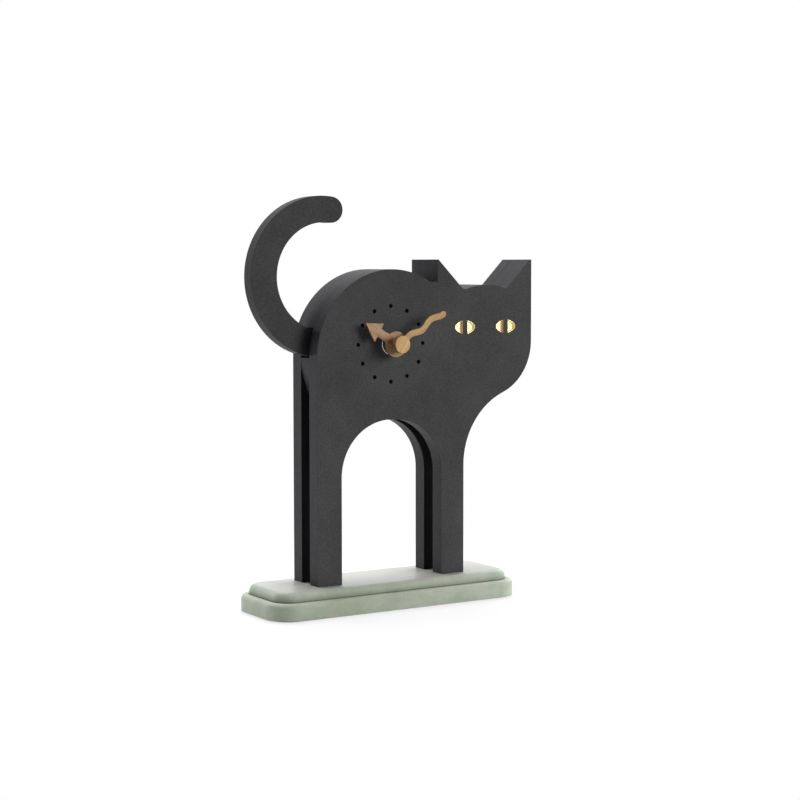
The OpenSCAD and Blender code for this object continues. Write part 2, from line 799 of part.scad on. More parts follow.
module middle_plate() color(plastic_white) difference() {
    y = layer_y(3);
    in_case(y, y + wheel_t) plate_outline();
    for (p = post_places) arbor(p, y - skin, y + wheel_t + skin, post_radii[1] + fit_gap);
    arbor([0, 0], y - skin, y + wheel_t + skin, arbor_r + run_gap);
    arbor(third_c, y - skin, y + wheel_t + skin, third_pinion_teeth * centre_m / 2 + 0.6);
    for (c = [step_c, rotor_c]) arbor(c, y + wheel_t / 4, y + wheel_t + skin, thin_arbor_r + run_gap);
}

module train_bridge() color(plastic_white) difference() {
    y = layer_y(bridge_layer);
    in_case(y, y + wheel_t) plate_outline();
    for (p = post_places) arbor(p, y - skin, y + wheel_t + skin, post_radii[3] + fit_gap);
    for (c = [[0, 0], third_c]) arbor(c, y - skin, y + wheel_t + skin, arbor_r + run_gap);
    for (c = [step_c, rotor_c]) arbor(c, y - skin, y + wheel_t + skin, thin_arbor_r + run_gap);
}

module hour_wheel() color(plastic_white) difference() {
    y = layer_y(0);
    union() {
        wheel([0, 0], hour_teeth, hour_m, hour_phase, 0);
        bar(dial_c, hand_y[0], y + skin, hour_tube_r);
    }
    bar(dial_c, hand_y[0] - skin, y + wheel_t + skin, minute_tube_r + run_gap);
}

module motion_wheel() color(plastic_white) difference() {
    union() {
        wheel(motion_c, motion_teeth, cannon_m, motion_phase, 1);
        wheel(motion_c, motion_pinion_teeth, hour_m, 0, 0);
        arbor(motion_c, layer_y(0), layer_y(1) + skin, post_r * 2);
    }
    arbor(motion_c, layer_y(0) - skin, layer_y(1) + wheel_t + skin, post_r + run_gap);
}

module centre_wheel() color(plastic_white) difference() {
    union() {
        wheel([0, 0], cannon_teeth, cannon_m, 0, 1);
        wheel([0, 0], centre_teeth, centre_m, 0, 2);
        bar(dial_c, hand_y[1], layer_y(2) + skin, minute_tube_r);
    }
    bar(dial_c, hand_y[1] - skin, layer_y(2) + wheel_t + skin, arbor_r + run_gap);
}

module third_wheel() color(plastic_white) {
    wheel(third_c, third_pinion_teeth, centre_m, third_phase, 2);
    wheel(third_c, third_teeth, third_m, 0, 4);
    arbor(third_c, layer_y(2), layer_y(4) + wheel_t, arbor_r * 1.6);
    arbor(third_c, y_train - shell_t / 2, layer_y(bridge_layer) + wheel_t, arbor_r);
}

module second_wheel() color(plastic_white) {
    wheel([0, 0], second_pinion_teeth, third_m, second_phase, 4);
    wheel([0, 0], second_teeth, second_m, 0, 5);
    arbor([0, 0], layer_y(4), layer_y(5) + wheel_t, arbor_r * 1.4);
    arbor([0, 0], hand_y[1] + 0.4, layer_y(bridge_layer) + wheel_t, arbor_r);
}

module step_wheel() color(plastic_white) {
    wheel(step_c, step_pinion_teeth, second_m, step_phase, 5);
    wheel(step_c, step_teeth, second_m, 0, 6);
    arbor(step_c, layer_y(5), layer_y(6) + wheel_t, thin_arbor_r * 2);
    arbor(step_c, layer_y(3) + wheel_t / 4, layer_y(bridge_layer) + wheel_t, thin_arbor_r);
}

module rotor() color(steel) {
    wheel(rotor_c, rotor_teeth, second_m, rotor_phase, 6);
    arbor(rotor_c, layer_y(6) + wheel_t / 2, layer_y(stator_layer) + skin, thin_arbor_r * 1.5);
    arbor(rotor_c, layer_y(stator_layer), layer_y(stator_layer) + magnet_t, magnet_r);
    arbor(rotor_c, layer_y(3) + wheel_t / 4, layer_y(bridge_layer) + wheel_t, thin_arbor_r);
}

module stator() color(steel) difference() {
    y = layer_y(stator_layer);
    in_case(y, y + wheel_t) difference() {
        union() {
            translate([-core_w / 2, stator_z[0]]) square([core_w, stator_z[1] - stator_z[0]]);
            for (s = [-1, 1]) translate([s * (core_w - stator_leg_w) / 2 - stator_leg_w / 2, stator_z[0]])
                square([stator_leg_w, stator_top - stator_z[0]]);
            translate(rotor_c) circle(stator_ring_r);
        }
        translate(rotor_c) circle(magnet_r + 0.4);
    }
    for (p = post_places) arbor(p, y - skin, y + wheel_t + skin, post_radii[2] + fit_gap);
}

module core_bar(grow) translate([dial_c[0], 0, dial_c[1]]) {
    y = layer_y(stator_layer) + wheel_t;
    translate([-core_w / 2 - grow, y - grow, coil_z - core_h / 2 - grow])
        cube([core_w + 2 * grow, core_bar_t + 2 * grow, core_h + 2 * grow]);
}
module coil_core() color(steel) core_bar(0);

module coil() color(copper) difference() {
    flange = 1.2;
    y = layer_y(stator_layer) + wheel_t + core_bar_t / 2;
    translate([dial_c[0], y, dial_c[1] + coil_z]) rotate([0, 90, 0]) {
        cylinder(h = coil_w, r = coil_r - 0.4, center = true);
        for (s = [-1, 1]) translate([0, 0, s * (coil_w - flange) / 2]) cylinder(h = flange, r = coil_r, center = true);
    }
    core_bar(fit_gap);
}

module setting_knob() color(plastic_white) {
    knurls = 20;
    wheel(knob_c, knob_teeth, cannon_m, knob_phase, 1);
    arbor(knob_c, y_train - shell_t / 2, y_case_end + 0.4, knob_shaft_r);
    difference() {
        arbor(knob_c, y_case_end + 0.2, y_case_end + 0.2 + knob_t, knob_r);
        for (i = [0:knurls - 1])
            arbor(knob_c + polar(knob_r, 360 * i / knurls), y_case_end, y_case_end + 0.5 + knob_t, 0.4);
    }
}

module circuit_board() color([0.15, 0.35, 0.2]) difference() {
    y = layer_y(board_layer);
    x0 = edge_room - case_in;
    x1 = post_places[1][0] + post_rim;
    z0 = post_places[0][1] - post_rim;
    z1 = post_places[2][1] + post_rim;
    in_case(y, y + wheel_t) translate([x0, z0]) square([x1 - x0, z1 - z0]);
    for (p = post_places) arbor(p, y - skin, y + wheel_t + skin, post_radii[3] + fit_gap);
}

module quartz_crystal() color(steel)
    translate([dial_c[0] - case_in + wall_room, layer_y(board_layer) + wheel_t + crystal_r, dial_c[1] + post_rim])
        rotate([0, 90, 0])
        cylinder(h = 5, r = crystal_r);

module battery() color(copper)
    translate([dial_c[0] + case_in - contact_t, battery_y, dial_c[1] + bay_mid]) rotate([0, -90, 0]) {
        cylinder(h = nub_len + skin, r = nub_r);
        translate([0, 0, nub_len]) cylinder(h = battery_len - nub_len, r = battery_r);
    }

module positive_contact() color(steel)
    translate([dial_c[0] + case_in - contact_t, y_train + 1, dial_c[1] + bay_mid - battery_r / 2])
        cube([contact_t, 2 * battery_r - 2, battery_r]);

// A strip at the end wall with a bent leaf that presses on the battery
module negative_contact() color(steel) {
    room = 2 * case_in - contact_t - battery_len;
    translate([dial_c[0] - case_in, 0, dial_c[1] + bay_mid - 4]) linear_extrude(8)
        polygon([
            [0, y_train + 1], [room - contact_t, battery_y - 1], [room, battery_y], [room - contact_t, battery_y + 1],
            [contact_t, y_train + 2 * battery_r - 1], [0, y_train + 2 * battery_r - 1],
            [0, battery_y + 3], [room - 2 * contact_t, battery_y], [0, battery_y - 3]
        ]);
}

base_felt();
base_lower_slab();
base_upper_slab();
leg_screws();
front_board();
core_board();
back_board();
board_dowels();
tail();
tail_pin();
tail_washers();
left_eye_outer_brass();
left_eye_inner_brass();
right_eye_inner_brass();
right_eye_outer_brass();
dial_gasket();
dial_washer();
dial_nut();
hour_hand();
minute_hand();
hand_cap();
movement_cover();
movement_case();
middle_plate();
train_bridge();
hour_wheel();
motion_wheel();
centre_wheel();
third_wheel();
second_wheel();
step_wheel();
rotor();
stator();
coil_core();
coil();
setting_knob();
circuit_board();
quartz_crystal();
battery();
positive_contact();
negative_contact();
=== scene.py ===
"""Visual model of a cat tail clock, laid out as an add-on."""
import json
import math

import bmesh
import bpy
from bpy.props import FloatProperty, FloatVectorProperty, IntProperty, PointerProperty
from mathutils import Matrix, Vector

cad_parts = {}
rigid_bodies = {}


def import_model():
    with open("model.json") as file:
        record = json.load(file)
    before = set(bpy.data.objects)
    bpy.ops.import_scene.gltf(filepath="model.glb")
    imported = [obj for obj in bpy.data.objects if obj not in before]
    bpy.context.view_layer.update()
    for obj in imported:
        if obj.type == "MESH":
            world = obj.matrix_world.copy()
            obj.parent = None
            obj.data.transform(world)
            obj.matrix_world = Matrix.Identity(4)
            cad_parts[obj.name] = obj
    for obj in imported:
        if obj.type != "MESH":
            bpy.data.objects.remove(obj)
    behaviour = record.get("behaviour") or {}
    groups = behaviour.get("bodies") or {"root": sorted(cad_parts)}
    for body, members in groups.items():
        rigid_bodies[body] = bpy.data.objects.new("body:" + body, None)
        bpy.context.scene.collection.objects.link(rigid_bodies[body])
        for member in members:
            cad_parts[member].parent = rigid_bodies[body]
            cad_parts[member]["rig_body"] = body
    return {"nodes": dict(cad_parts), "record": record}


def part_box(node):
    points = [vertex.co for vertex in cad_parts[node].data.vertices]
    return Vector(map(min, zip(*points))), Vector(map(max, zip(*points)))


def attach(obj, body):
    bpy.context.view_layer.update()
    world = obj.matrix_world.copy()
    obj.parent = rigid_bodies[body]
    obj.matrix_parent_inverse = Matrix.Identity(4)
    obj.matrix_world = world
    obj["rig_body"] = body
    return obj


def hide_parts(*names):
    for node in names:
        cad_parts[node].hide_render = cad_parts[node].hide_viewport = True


bl_info = {
    "name": "Cat Tail Clock",
    "version": (1, 0, 0),
    "blender": (4, 5, 0),
    "location": "View3D > Sidebar > Clock",
    "description": "Dresses the clock's solids with bevels, materials, lights and a camera",
    "category": "Object",
}

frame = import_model()
MM = 0.001
NODES = frame["nodes"]
SLOTS = {part["node"]: part["material_slot"] for part in frame["record"]["subparts"]}


# ---- Places, from the solids ----

def middle(node):
    """Middle of a node's box at rest."""
    lo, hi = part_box(node)
    return (Vector(lo) + Vector(hi)) / 2


DIAL = middle("dial_washer")
TAIL_PIN = middle("tail_pin")
BOARD_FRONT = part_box("front_board")[0][1]
CORE_MIDDLE = middle("core_board").y
CORE_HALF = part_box("core_board")[1][1] - CORE_MIDDLE

# Radius of the upper slab's corners, seen from above
SLAB_CORNER = 10.0 * MM

WHITE = (1.0, 1.0, 1.0)
BLACK = (0.0, 0.0, 0.0)

# How meshes are cleaned and shaded
WELD = 1e-6
NEARLY_FLAT = math.radians(0.5)
SMOOTH_UNDER = math.radians(50.0)
SHARP_OVER = math.radians(25.0)
HOLLOW_OVER = math.radians(60.0)

# Where the camera stands, and how it is turned
CAMERA_PLACE = (-0.5198, -0.8539, 0.1893)
CAMERA_YAW, CAMERA_PITCH, CAMERA_ROLL = (math.radians(a) for a in (31.98, 4.336, -0.057))

# Place, width and colour of each lamp; all point at the dial
LAMPS = {
    "key": ((0.80, -0.98, 0.50), 0.78, WHITE),
    "top": ((0.08, 0.40, 1.35), 1.10, (0.93, 0.97, 1.0)),
    "card": ((1.00, -1.35, 0.12), 0.60, WHITE),
    "side": ((0.75, 0.28, 0.42), 0.40, WHITE),
}

# Where the backdrop's light begins and where it is full, by how far towards the back one looks
BACKDROP_RISES = (-0.05, 0.40)

# The floor: half its width, how far it lies under the base, the depths between which it starts to
# return light, and the distances between which the shadow on it fades
FLOOR_HALF = 3.0
FLOOR_DROP = 0.2 * MM
FLOOR_LIT = (-0.20, 0.05)
SHADOW_FADES = (0.10, 0.26)


def scaled(colour, factor):
    """A constant colour made lighter or darker."""
    return tuple(factor * c for c in colour)


# ---- Shader graphs ----

class Sock:
    """A shader socket that takes part in Python expressions."""

    def __init__(self, graph, socket):
        self.graph = graph
        self.socket = socket

    def _math(self, operation, *values, clamp=False):
        settings = {"operation": operation, "use_clamp": clamp}
        return self.graph.node("ShaderNodeMath", settings, dict(enumerate(values)))

    def __add__(self, other):
        return self._math("ADD", self, other)

    __radd__ = __add__

    def __mul__(self, other):
        return self._math("MULTIPLY", self, other)

    __rmul__ = __mul__

    def __sub__(self, other):
        return self._math("SUBTRACT", self, other)

    def __rsub__(self, other):
        return self._math("SUBTRACT", other, self)

    def __pow__(self, other):
        return self._math("POWER", self, other)

    def __gt__(self, other):
        return self._math("GREATER_THAN", self, other)

    def __lt__(self, other):
        return self._math("LESS_THAN", self, other)

    def clamp(self):
        return self._math("ADD", self, 0.0, clamp=True)

    def at_least(self, floor):
        return self._math("MAXIMUM", self, floor)

    def sine(self):
        return self._math("SINE", self)

    def absolute(self):
        return self._math("ABSOLUTE", self)

    def span(self, low, high):
        """Spreads low to high over 0 to 1, and holds the ends."""
        inputs = {"Value": self, "From Min": low, "From Max": high}
        return self.graph.node("ShaderNodeMapRange", {"clamp": True}, inputs)


class Graph:
    """A node tree, built by expressions."""

    def __init__(self, tree):
        self.tree = tree

    def node(self, kind, settings, inputs, output=0):
        """Makes a node, sets it up, feeds its sockets, and returns one of its outputs."""
        made = self.tree.nodes.new(kind)
        for key, value in settings.items():
            setattr(made, key, value)
        for key, value in inputs.items():
            self.feed(made.inputs[key], value)
        return Sock(self, made.outputs[output])

    def feed(self, socket, value):
        if isinstance(value, Sock):
            self.tree.links.new(value.socket, socket)
        elif isinstance(value, (tuple, list)) and len(value) == 3 and socket.type == "RGBA":
            socket.default_value = (*value, 1.0)
        else:
            socket.default_value = value

    def place(self):
        """The point on the piece, in metres."""
        return self.node("ShaderNodeTexCoord", {}, {}, output="Object")

    def axis(self, point, name):
        return self.node("ShaderNodeSeparateXYZ", {}, {0: point}, output=name)

    def length(self, a, b):
        """Length of the line that goes a along one axis and b along another."""
        return (a * a + b * b) ** 0.5

    def stretch(self, point, scale, turn=(0.0, 0.0, 0.0), shift=(0.0, 0.0, 0.0)):
        inputs = {"Vector": point, "Scale": scale, "Rotation": turn, "Location": shift}
        return self.node("ShaderNodeMapping", {}, inputs)

    def noise(self, point, scale, detail=2.0, roughness=0.5, distortion=0.0):
        """Soft noise, at one scale or at a scale for each axis."""
        if isinstance(scale, tuple):
            point, scale = self.stretch(point, scale), 1.0
        inputs = {"Vector": point, "Scale": scale, "Detail": detail,
                  "Roughness": roughness, "Distortion": distortion}
        return self.node("ShaderNodeTexNoise", {}, inputs, output="Fac")

    def cells(self, point, scale, feature="F1", randomness=1.0):
        inputs = {"Vector": point, "Scale": scale, "Randomness": randomness}
        return self.node("ShaderNodeTexVoronoi", {"feature": feature}, inputs, output="Distance")

    def mix(self, factor, a, b, blend="MIX"):
        settings = {"data_type": "RGBA", "blend_type": blend, "clamp_factor": True}
        return self.node("ShaderNodeMix", settings, {0: factor, 6: a, 7: b}, output=2)

    def mix_shaders(self, factor, a, b):
        return self.node("ShaderNodeMixShader", {}, {0: factor, 1: a, 2: b})

    def looked_at(self):
        """1 for what is seen, straight, in a reflection or through glass, and 0 for soft light."""
        rays = [
            self.node("ShaderNodeLightPath", {}, {}, output=kind)
            for kind in ("Is Camera Ray", "Is Glossy Ray", "Is Transmission Ray")
        ]
        return (rays[0] + rays[1] + rays[2]).clamp()


class Finish(Graph):
    """A material with one Principled BSDF."""

    def __init__(self, name, **constants):
        self.material = bpy.data.materials.new(name)
        self.material.use_nodes = True
        super().__init__(self.material.node_tree)
        self.shader = self.tree.nodes["Principled BSDF"]
        for key, value in constants.items():
            self.shader.inputs[key.replace("_", " ")].default_value = value

    def set(self, **inputs):
        """Feeds the shader's own sockets."""
        for key, value in inputs.items():
            self.feed(self.shader.inputs[key.replace("_", " ")], value)

    def bump(self, height, strength, distance):
        inputs = {"Height": height, "Strength": strength, "Distance": distance}
        self.set(Normal=self.node("ShaderNodeBump", {}, inputs))
        return self

    def face(self, name):
        """How far the surface faces along an axis of the object, 0 to 1."""
        normal = self.node("ShaderNodeTexCoord", {}, {}, output="Normal")
        return self.axis(normal, name).absolute()

    def shade(self, colour, tone):
        """A colour made lighter or darker by a number."""
        grey = self.node("ShaderNodeCombineColor", {}, {0: tone, 1: tone, 2: tone})
        return self.mix(1.0, colour, grey, "MULTIPLY")


def facing_core(g, point):
    """1 on the middle board and on what touches it, and 0 on the outer faces."""
    from_core = (g.axis(point, "Y") - CORE_MIDDLE).absolute()
    return from_core < CORE_HALF + 0.3 * MM


def from_tail_pin(g, point):
    """How far a point lies from the tail's pin."""
    return g.length(g.axis(point, "X") - TAIL_PIN.x, g.axis(point, "Z") - TAIL_PIN.z)


def over_tail(g, point):
    """Close to 1 over the tail's root in the front and middle boards, and 0 away from there."""
    above = g.axis(point, "Z") - TAIL_PIN.z
    near = from_tail_pin(g, point).span(35 * MM, 13 * MM) * above.span(0.0, 5 * MM)
    depth = g.axis(point, "Y")
    front = depth.span(CORE_MIDDLE + CORE_HALF + 2 * MM, CORE_MIDDLE)
    spared = 1 - 0.3 * depth.span(BOARD_FRONT + 8 * MM, BOARD_FRONT)
    return near * front * spared


def fibreboard(name, colour, cloud_colour, cut_colour, inner=0.0, handled=0.0, sunk=0.0):
    """Dyed fibreboard: felted and matt on its faces, streaked and burnished on its cut edges.

    Three places may get painted shade, each as strong as its own argument: the faces that look at the
    middle board (inner), as the gap between the boards is shaded; the edges of the front and middle
    boards above the tail, where shade falls around the tail's root; and the tail's faces close to its
    pin, in the front board's shadow."""
    g = Finish(name, Specular_IOR_Level=0.03, Coat_Roughness=0.3)
    point = g.place()
    flat = g.face("Y").span(0.6, 0.9)
    fibres = g.noise(point, (900.0, 900.0, 1500.0), detail=4.0, roughness=0.65, distortion=0.6)
    cloud = g.noise(point, 38.0, detail=3.0, roughness=0.55)
    specks = g.cells(point, 620.0).span(0.13, 0.05) * g.noise(point, 210.0, detail=1.0).span(0.52, 0.66)
    streaks = g.noise(point, (1400.0, 60.0, 1400.0), detail=3.0, roughness=0.6)
    tone = 0.10 + 1.45 * fibres + 0.50 * cloud
    face_colour = g.mix(cloud.span(0.35, 0.65), colour, cloud_colour)
    edge_colour = g.mix(streaks.span(0.35, 0.7) * 0.25, cut_colour, colour)
    base = g.mix(flat, edge_colour, face_colour)
    base = g.shade(base, tone)
    base = g.mix(specks * 0.30, base, (0.22, 0.22, 0.22))
    # Painted shade: the faces that look at the middle board are darkened as the gap between the boards
    # is shaded.
    base = g.mix(facing_core(g, point) * flat * inner, base, BLACK)
    # Painted shade on the cut edges above the tail's root; the coat is taken off where this shade lies.
    painted_shade_above_tail = over_tail(g, point) * (1 - flat) * handled
    # Painted shadow of the front board on the tail's faces close to its pin.
    painted_pin_shadow = from_tail_pin(g, point).span(14 * MM, 8 * MM) * flat * sunk
    base = g.mix(painted_shade_above_tail + painted_pin_shadow, base, BLACK)
    g.set(Base_Color=base, Roughness=0.56 + 0.16 * fibres - 0.06 * cloud + 0.06 * (1 - flat),
          Coat_Weight=0.22 * (1 - flat) * (1 - painted_shade_above_tail))
    return g.bump(fibres * flat + 0.3 * streaks * (1 - flat), 0.35, 0.12 * MM).material


def outside_upper_slab(g, point):
    """How far a point lies outside the upper slab's outline with its round corners."""
    lo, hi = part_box("base_upper_slab")
    past = []
    for axis, i in (("X", 0), ("Y", 1)):
        from_middle = (g.axis(point, axis) - (lo[i] + hi[i]) / 2).absolute()
        past.append((from_middle - (hi[i] - lo[i]) / 2 + SLAB_CORNER).at_least(0.0))
    return g.length(*past) - SLAB_CORNER


def lacquered_base(name, pale, green, olive, top_reflection_colour):
    """Sage lacquer rubbed into board: soft blotches, a paler top of painted reflection, and painted
    shade low on the upper slab and where the slabs meet.
    """
    g = Finish(name, Specular_IOR_Level=0.16, Coat_Roughness=0.34)
    point = g.place()
    rise = g.axis(point, "Z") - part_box("base_upper_slab")[0][2]
    off = outside_upper_slab(g, point)
    upper = rise > 0.2 * MM
    # Painted reflection: the flat top of the upper slab gets the paler top colour.
    top = g.face("Z").span(0.82, 0.995) * upper
    # Painted shade, darker towards the foot of the upper slab's front.
    foot_shade = rise.span(3.6 * MM, 0.0) * upper
    # Painted shade where the slabs meet.
    seam_shade = off.span(0.9 * MM, 0.2 * MM) * rise.span(0.6 * MM, 0.2 * MM)
    flattened = g.stretch(point, (1.0, 1.3, 1.8))
    blotch = g.noise(flattened, 30.0, detail=5.0, roughness=0.62, distortion=0.6)
    shifted = g.stretch(point, (0.7, 1.0, 1.5), shift=(0.3, 0.1, 0.7))
    wash = g.noise(shifted, 17.0, detail=3.0, roughness=0.55, distortion=0.3)
    small = g.noise(point, 240.0, detail=5.0, roughness=0.7, distortion=0.4)
    grain = g.noise(g.stretch(point, (1.0, 1.0, 1.6)), 900.0, detail=4.0, roughness=0.65)
    colour = g.mix(blotch.span(0.38, 0.62), green, pale)
    colour = g.mix(wash.span(0.44, 0.66) * 0.7, colour, olive)
    colour = g.mix(top, colour, top_reflection_colour)
    tone = (0.76 + 0.24 * grain + 0.24 * small) * (1 - 0.34 * foot_shade) * (1 - 0.55 * seam_shade)
    colour = g.shade(colour, tone)
    g.set(Base_Color=colour, Roughness=0.46 + 0.14 * grain + 0.08 * wash, Coat_Weight=0.65 * top)
    return g.bump(grain + 0.5 * small, 0.3, 0.08 * MM).material


def timber(name, light, dark, axis_turn, burnt=0.0):
    """Fine hardwood with its grain along the turned X axis; a laser may have burnt its edges."""
    g = Finish(name, Specular_IOR_Level=0.2)
    point = g.stretch(g.place(), (1.0, 1.0, 1.0), turn=axis_turn)
    wander = g.noise(point, (60.0, 400.0, 400.0))
    rings = g.noise(point, (40.0, 900.0, 900.0), detail=4.0, roughness=0.6, distortion=0.5)
    pores = g.noise(point, (350.0, 4200.0, 4200.0), roughness=0.7).span(0.60, 0.74)
    fleck = g.noise(point, (900.0, 3000.0, 3000.0), detail=3.0, roughness=0.6)
    colour = g.mix(rings.span(0.32, 0.68), light, dark)
    colour = g.mix(wander.span(0.4, 0.7) * 0.25, colour, light)
    colour = g.mix(pores * 0.45, colour, scaled(dark, 0.45))
    colour = g.shade(colour, 0.92 + 0.16 * fleck)
    colour = g.mix(g.face("Y").span(0.9, 0.5) * burnt, colour, (0.075, 0.040, 0.022))
    g.set(Base_Color=colour, Roughness=0.46 + 0.14 * rings + 0.08 * pores)
    return g.bump(rings * 0.5 - pores, 0.3, 0.06 * MM).material


def metal(name, colour, rough, brush=(900.0, 900.0, 60.0), tarnish=0.15, streak=1.0, dim_face=0.0):
    """Metal with brush lines, faint smears and slight tarnish; its faces along Y may get a painted dark
    reflection.
    """
    g = Finish(name, Metallic=1.0)
    point = g.place()
    lines = g.noise(point, brush, detail=4.0, roughness=0.6)
    smear = g.noise(point, 260.0, detail=3.0, roughness=0.55, distortion=0.4)
    base = g.mix(smear.span(0.5, 0.75) * tarnish * 2, colour, scaled(colour, 0.55))
    # Painted dark reflection on the faces along Y.
    base = g.mix(g.face("Y").span(0.90, 0.99) * dim_face, base, (0.02, 0.02, 0.02))
    g.set(Base_Color=base, Roughness=rough + streak * (0.14 * lines + 0.10 * smear))
    return g.bump(lines, 0.12 * streak, 0.03 * MM).material


def eye_metal(name, node, gold, wall_shading, rim_shading):
    """Polished brass tray: a pale gold floor, walls with painted light and shade, and a rim with
    painted shade towards its right.
    """
    g = Finish(name)
    lo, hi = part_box(node)
    point = g.place()
    flat = g.face("Y").span(0.75, 0.95)
    front = g.axis(point, "Y").span(BOARD_FRONT + 0.5 * MM, BOARD_FRONT + 0.3 * MM) * flat
    # Painted shade on the rim, darker towards its right.
    painted_rim_shade = g.axis(point, "X").span(lo[0] + 0.5 * (hi[0] - lo[0]), hi[0] - 0.6 * MM) * front
    smear = g.noise(point, 330.0, detail=3.0, roughness=0.55, distortion=0.4)
    lines = g.noise(point, (500.0, 500.0, 2200.0), detail=4.0, roughness=0.6)
    floor = g.mix(smear.span(0.45, 0.75) * 0.25, gold, wall_shading)
    colour = g.mix(flat, wall_shading, floor)
    colour = g.mix(painted_rim_shade, colour, rim_shading)
    rough = 0.26 + 0.10 * lines + 0.06 * smear + 0.15 * painted_rim_shade
    g.set(Base_Color=colour, Roughness=rough, Metallic=1.0)
    return g.bump(lines, 0.05, 0.02 * MM).material


def moulded(name, colour, rough, grain=2600.0, depth=0.25):
    """Moulded plastic: spark-eroded grain, flow marks and a little dust."""
    g = Finish(name, Specular_IOR_Level=0.45)
    point = g.place()
    pits = g.cells(point, grain)
    flow = g.noise(point, 90.0, detail=3.0, distortion=0.8)
    dust = g.noise(point, 1500.0, roughness=0.7).span(0.62, 0.8)
    base = g.mix(flow.span(0.35, 0.7), colour, scaled(colour, 0.86))
    base = g.mix(dust * 0.10, base, (0.5, 0.49, 0.47))
    g.set(Base_Color=base, Roughness=rough + 0.12 * pits + 0.08 * flow)
    return g.bump(pits, depth, 0.05 * MM).material


def felted(name, colour):
    """Pressed felt: short tangled hairs in faint tufts."""
    g = Finish(name, Specular_IOR_Level=0.15, Sheen_Weight=0.4)
    point = g.place()
    hair = g.noise(point, (2600.0, 1900.0, 2600.0), detail=5.0, roughness=0.75, distortion=1.4)
    tuft = g.noise(point, 420.0, detail=3.0, roughness=0.6)
    base = g.mix(hair.span(0.35, 0.7), scaled(colour, 0.6), scaled(colour, 1.5))
    g.set(Base_Color=base, Roughness=0.86 + 0.1 * tuft)
    return g.bump(hair + tuft, 0.8, 0.3 * MM).material


def winding(name, colour):
    """Enamelled wire: close turns across X."""
    g = Finish(name, Specular_IOR_Level=0.6, Coat_Weight=0.4, Coat_Roughness=0.2)
    point = g.place()
    wire = 0.25 * MM
    turns = (g.axis(point, "X") * (2 * math.pi / wire)).sine()
    patch = g.noise(point, 300.0, detail=3.0, roughness=0.6)
    base = g.mix(patch, colour, scaled(colour, 0.6))
    # Painted shade in the troughs between the turns.
    base = g.mix(turns.span(-1.0, -0.2), scaled(colour, 0.3), base)
    g.set(Base_Color=base, Roughness=0.3 + 0.15 * patch, Metallic=0.6)
    return g.bump(turns, 0.6, 0.06 * MM).material


def circuit(name, colour):
    """Solder mask over tracks, with tinned pads."""
    g = Finish(name, Specular_IOR_Level=0.5)
    point = g.place()
    grid = g.stretch(point, (520.0, 520.0, 520.0))
    tracks = g.cells(grid, 1.0, "DISTANCE_TO_EDGE", 0.6).span(0.05, 0.11)
    pads = g.cells(grid, 1.0, "F1", 0.6).span(0.16, 0.12)
    weave = g.noise(point, 2200.0, roughness=0.6)
    base = g.mix(tracks, scaled(colour, 1.9), colour)
    base = g.mix(pads, base, (0.62, 0.61, 0.58))
    g.set(Base_Color=base, Roughness=0.34 + 0.14 * weave, Metallic=pads * 0.9)
    return g.bump(1 - tracks, 0.4, 0.04 * MM).material


def cell_sleeve(name, colour, band, metal_end):
    """Plain battery sleeve along X with a coloured shoulder and bare metal ends."""
    g = Finish(name, Specular_IOR_Level=0.5, Coat_Weight=0.25)
    lo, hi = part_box("battery")
    point = g.place()
    along = g.axis(point, "X").span(lo[0], hi[0])
    shoulder = along > 0.72
    end = 1 - (along.span(0.012, 0.016) * along.span(0.977, 0.973))
    scuff = g.noise(point, (300.0, 1200.0, 1200.0), detail=3.0, roughness=0.6)
    base = g.mix(shoulder, colour, band)
    base = g.mix(end, base, metal_end)
    base = g.mix(scuff.span(0.62, 0.8) * 0.2, base, (0.5, 0.5, 0.48))
    g.set(Base_Color=base, Roughness=0.3 + 0.2 * scuff, Metallic=end * 0.9 + 0.1)
    return g.bump(scuff, 0.1, 0.03 * MM).material


# ---- Meshes ----

def bevelled(node, suffix, width, segments, picked):
    """A copy of a node's mesh, with the picked edges rounded and hard edges only where it bends."""
    bm = bmesh.new()
    bm.from_mesh(NODES[node].data)
    bmesh.ops.remove_doubles(bm, verts=bm.verts, dist=WELD)
    bmesh.ops.dissolve_limit(
        bm, angle_limit=NEARLY_FLAT, verts=bm.verts, edges=bm.edges, delimit={"NORMAL"})
    edges = [e for e in bm.edges if len(e.link_faces) == 2 and picked(e)]
    bmesh.ops.bevel(
        bm, geom=edges, offset=width, offset_type="OFFSET", segments=segments, profile=0.5,
        affect="EDGES", clamp_overlap=True, miter_outer="SHARP", harden_normals=False)
    bm.normal_update()
    for face in bm.faces:
        face.smooth = True
    for edge in bm.edges:
        edge.smooth = len(edge.link_faces) == 2 and edge.calc_face_angle(0.0) < SMOOTH_UNDER
    mesh = bpy.data.meshes.new(node + suffix)
    bm.to_mesh(mesh)
    bm.free()
    return mesh


def eased_copy(node, width, segments):
    """A copy of a node's mesh with its sharp edges eased."""
    return bevelled(node, "_eased", width, segments, lambda e: e.calc_face_angle(0.0) > SHARP_OVER)


def tray_copy(node, corner, segments):
    """A copy of a brass tray with a round corner between its floor and its walls."""
    def at_floor(edge):
        hollow = edge.calc_face_angle_signed(0.0) < -HOLLOW_OVER
        return hollow and max(abs(f.normal.y) for f in edge.link_faces) > 0.9

    return bevelled(node, "_tray", corner, segments, at_floor)


# ---- Pieces ----

def material(name, make, *args, **kwargs):
    """Makes a material once."""
    return bpy.data.materials.get(name) or make(name, *args, **kwargs)


def white_acetal():
    """The plastic of the wheels, the plates and the knob."""
    return material("white_acetal", moulded, (0.76, 0.75, 0.70), rough=0.36, grain=1800.0, depth=0.1)


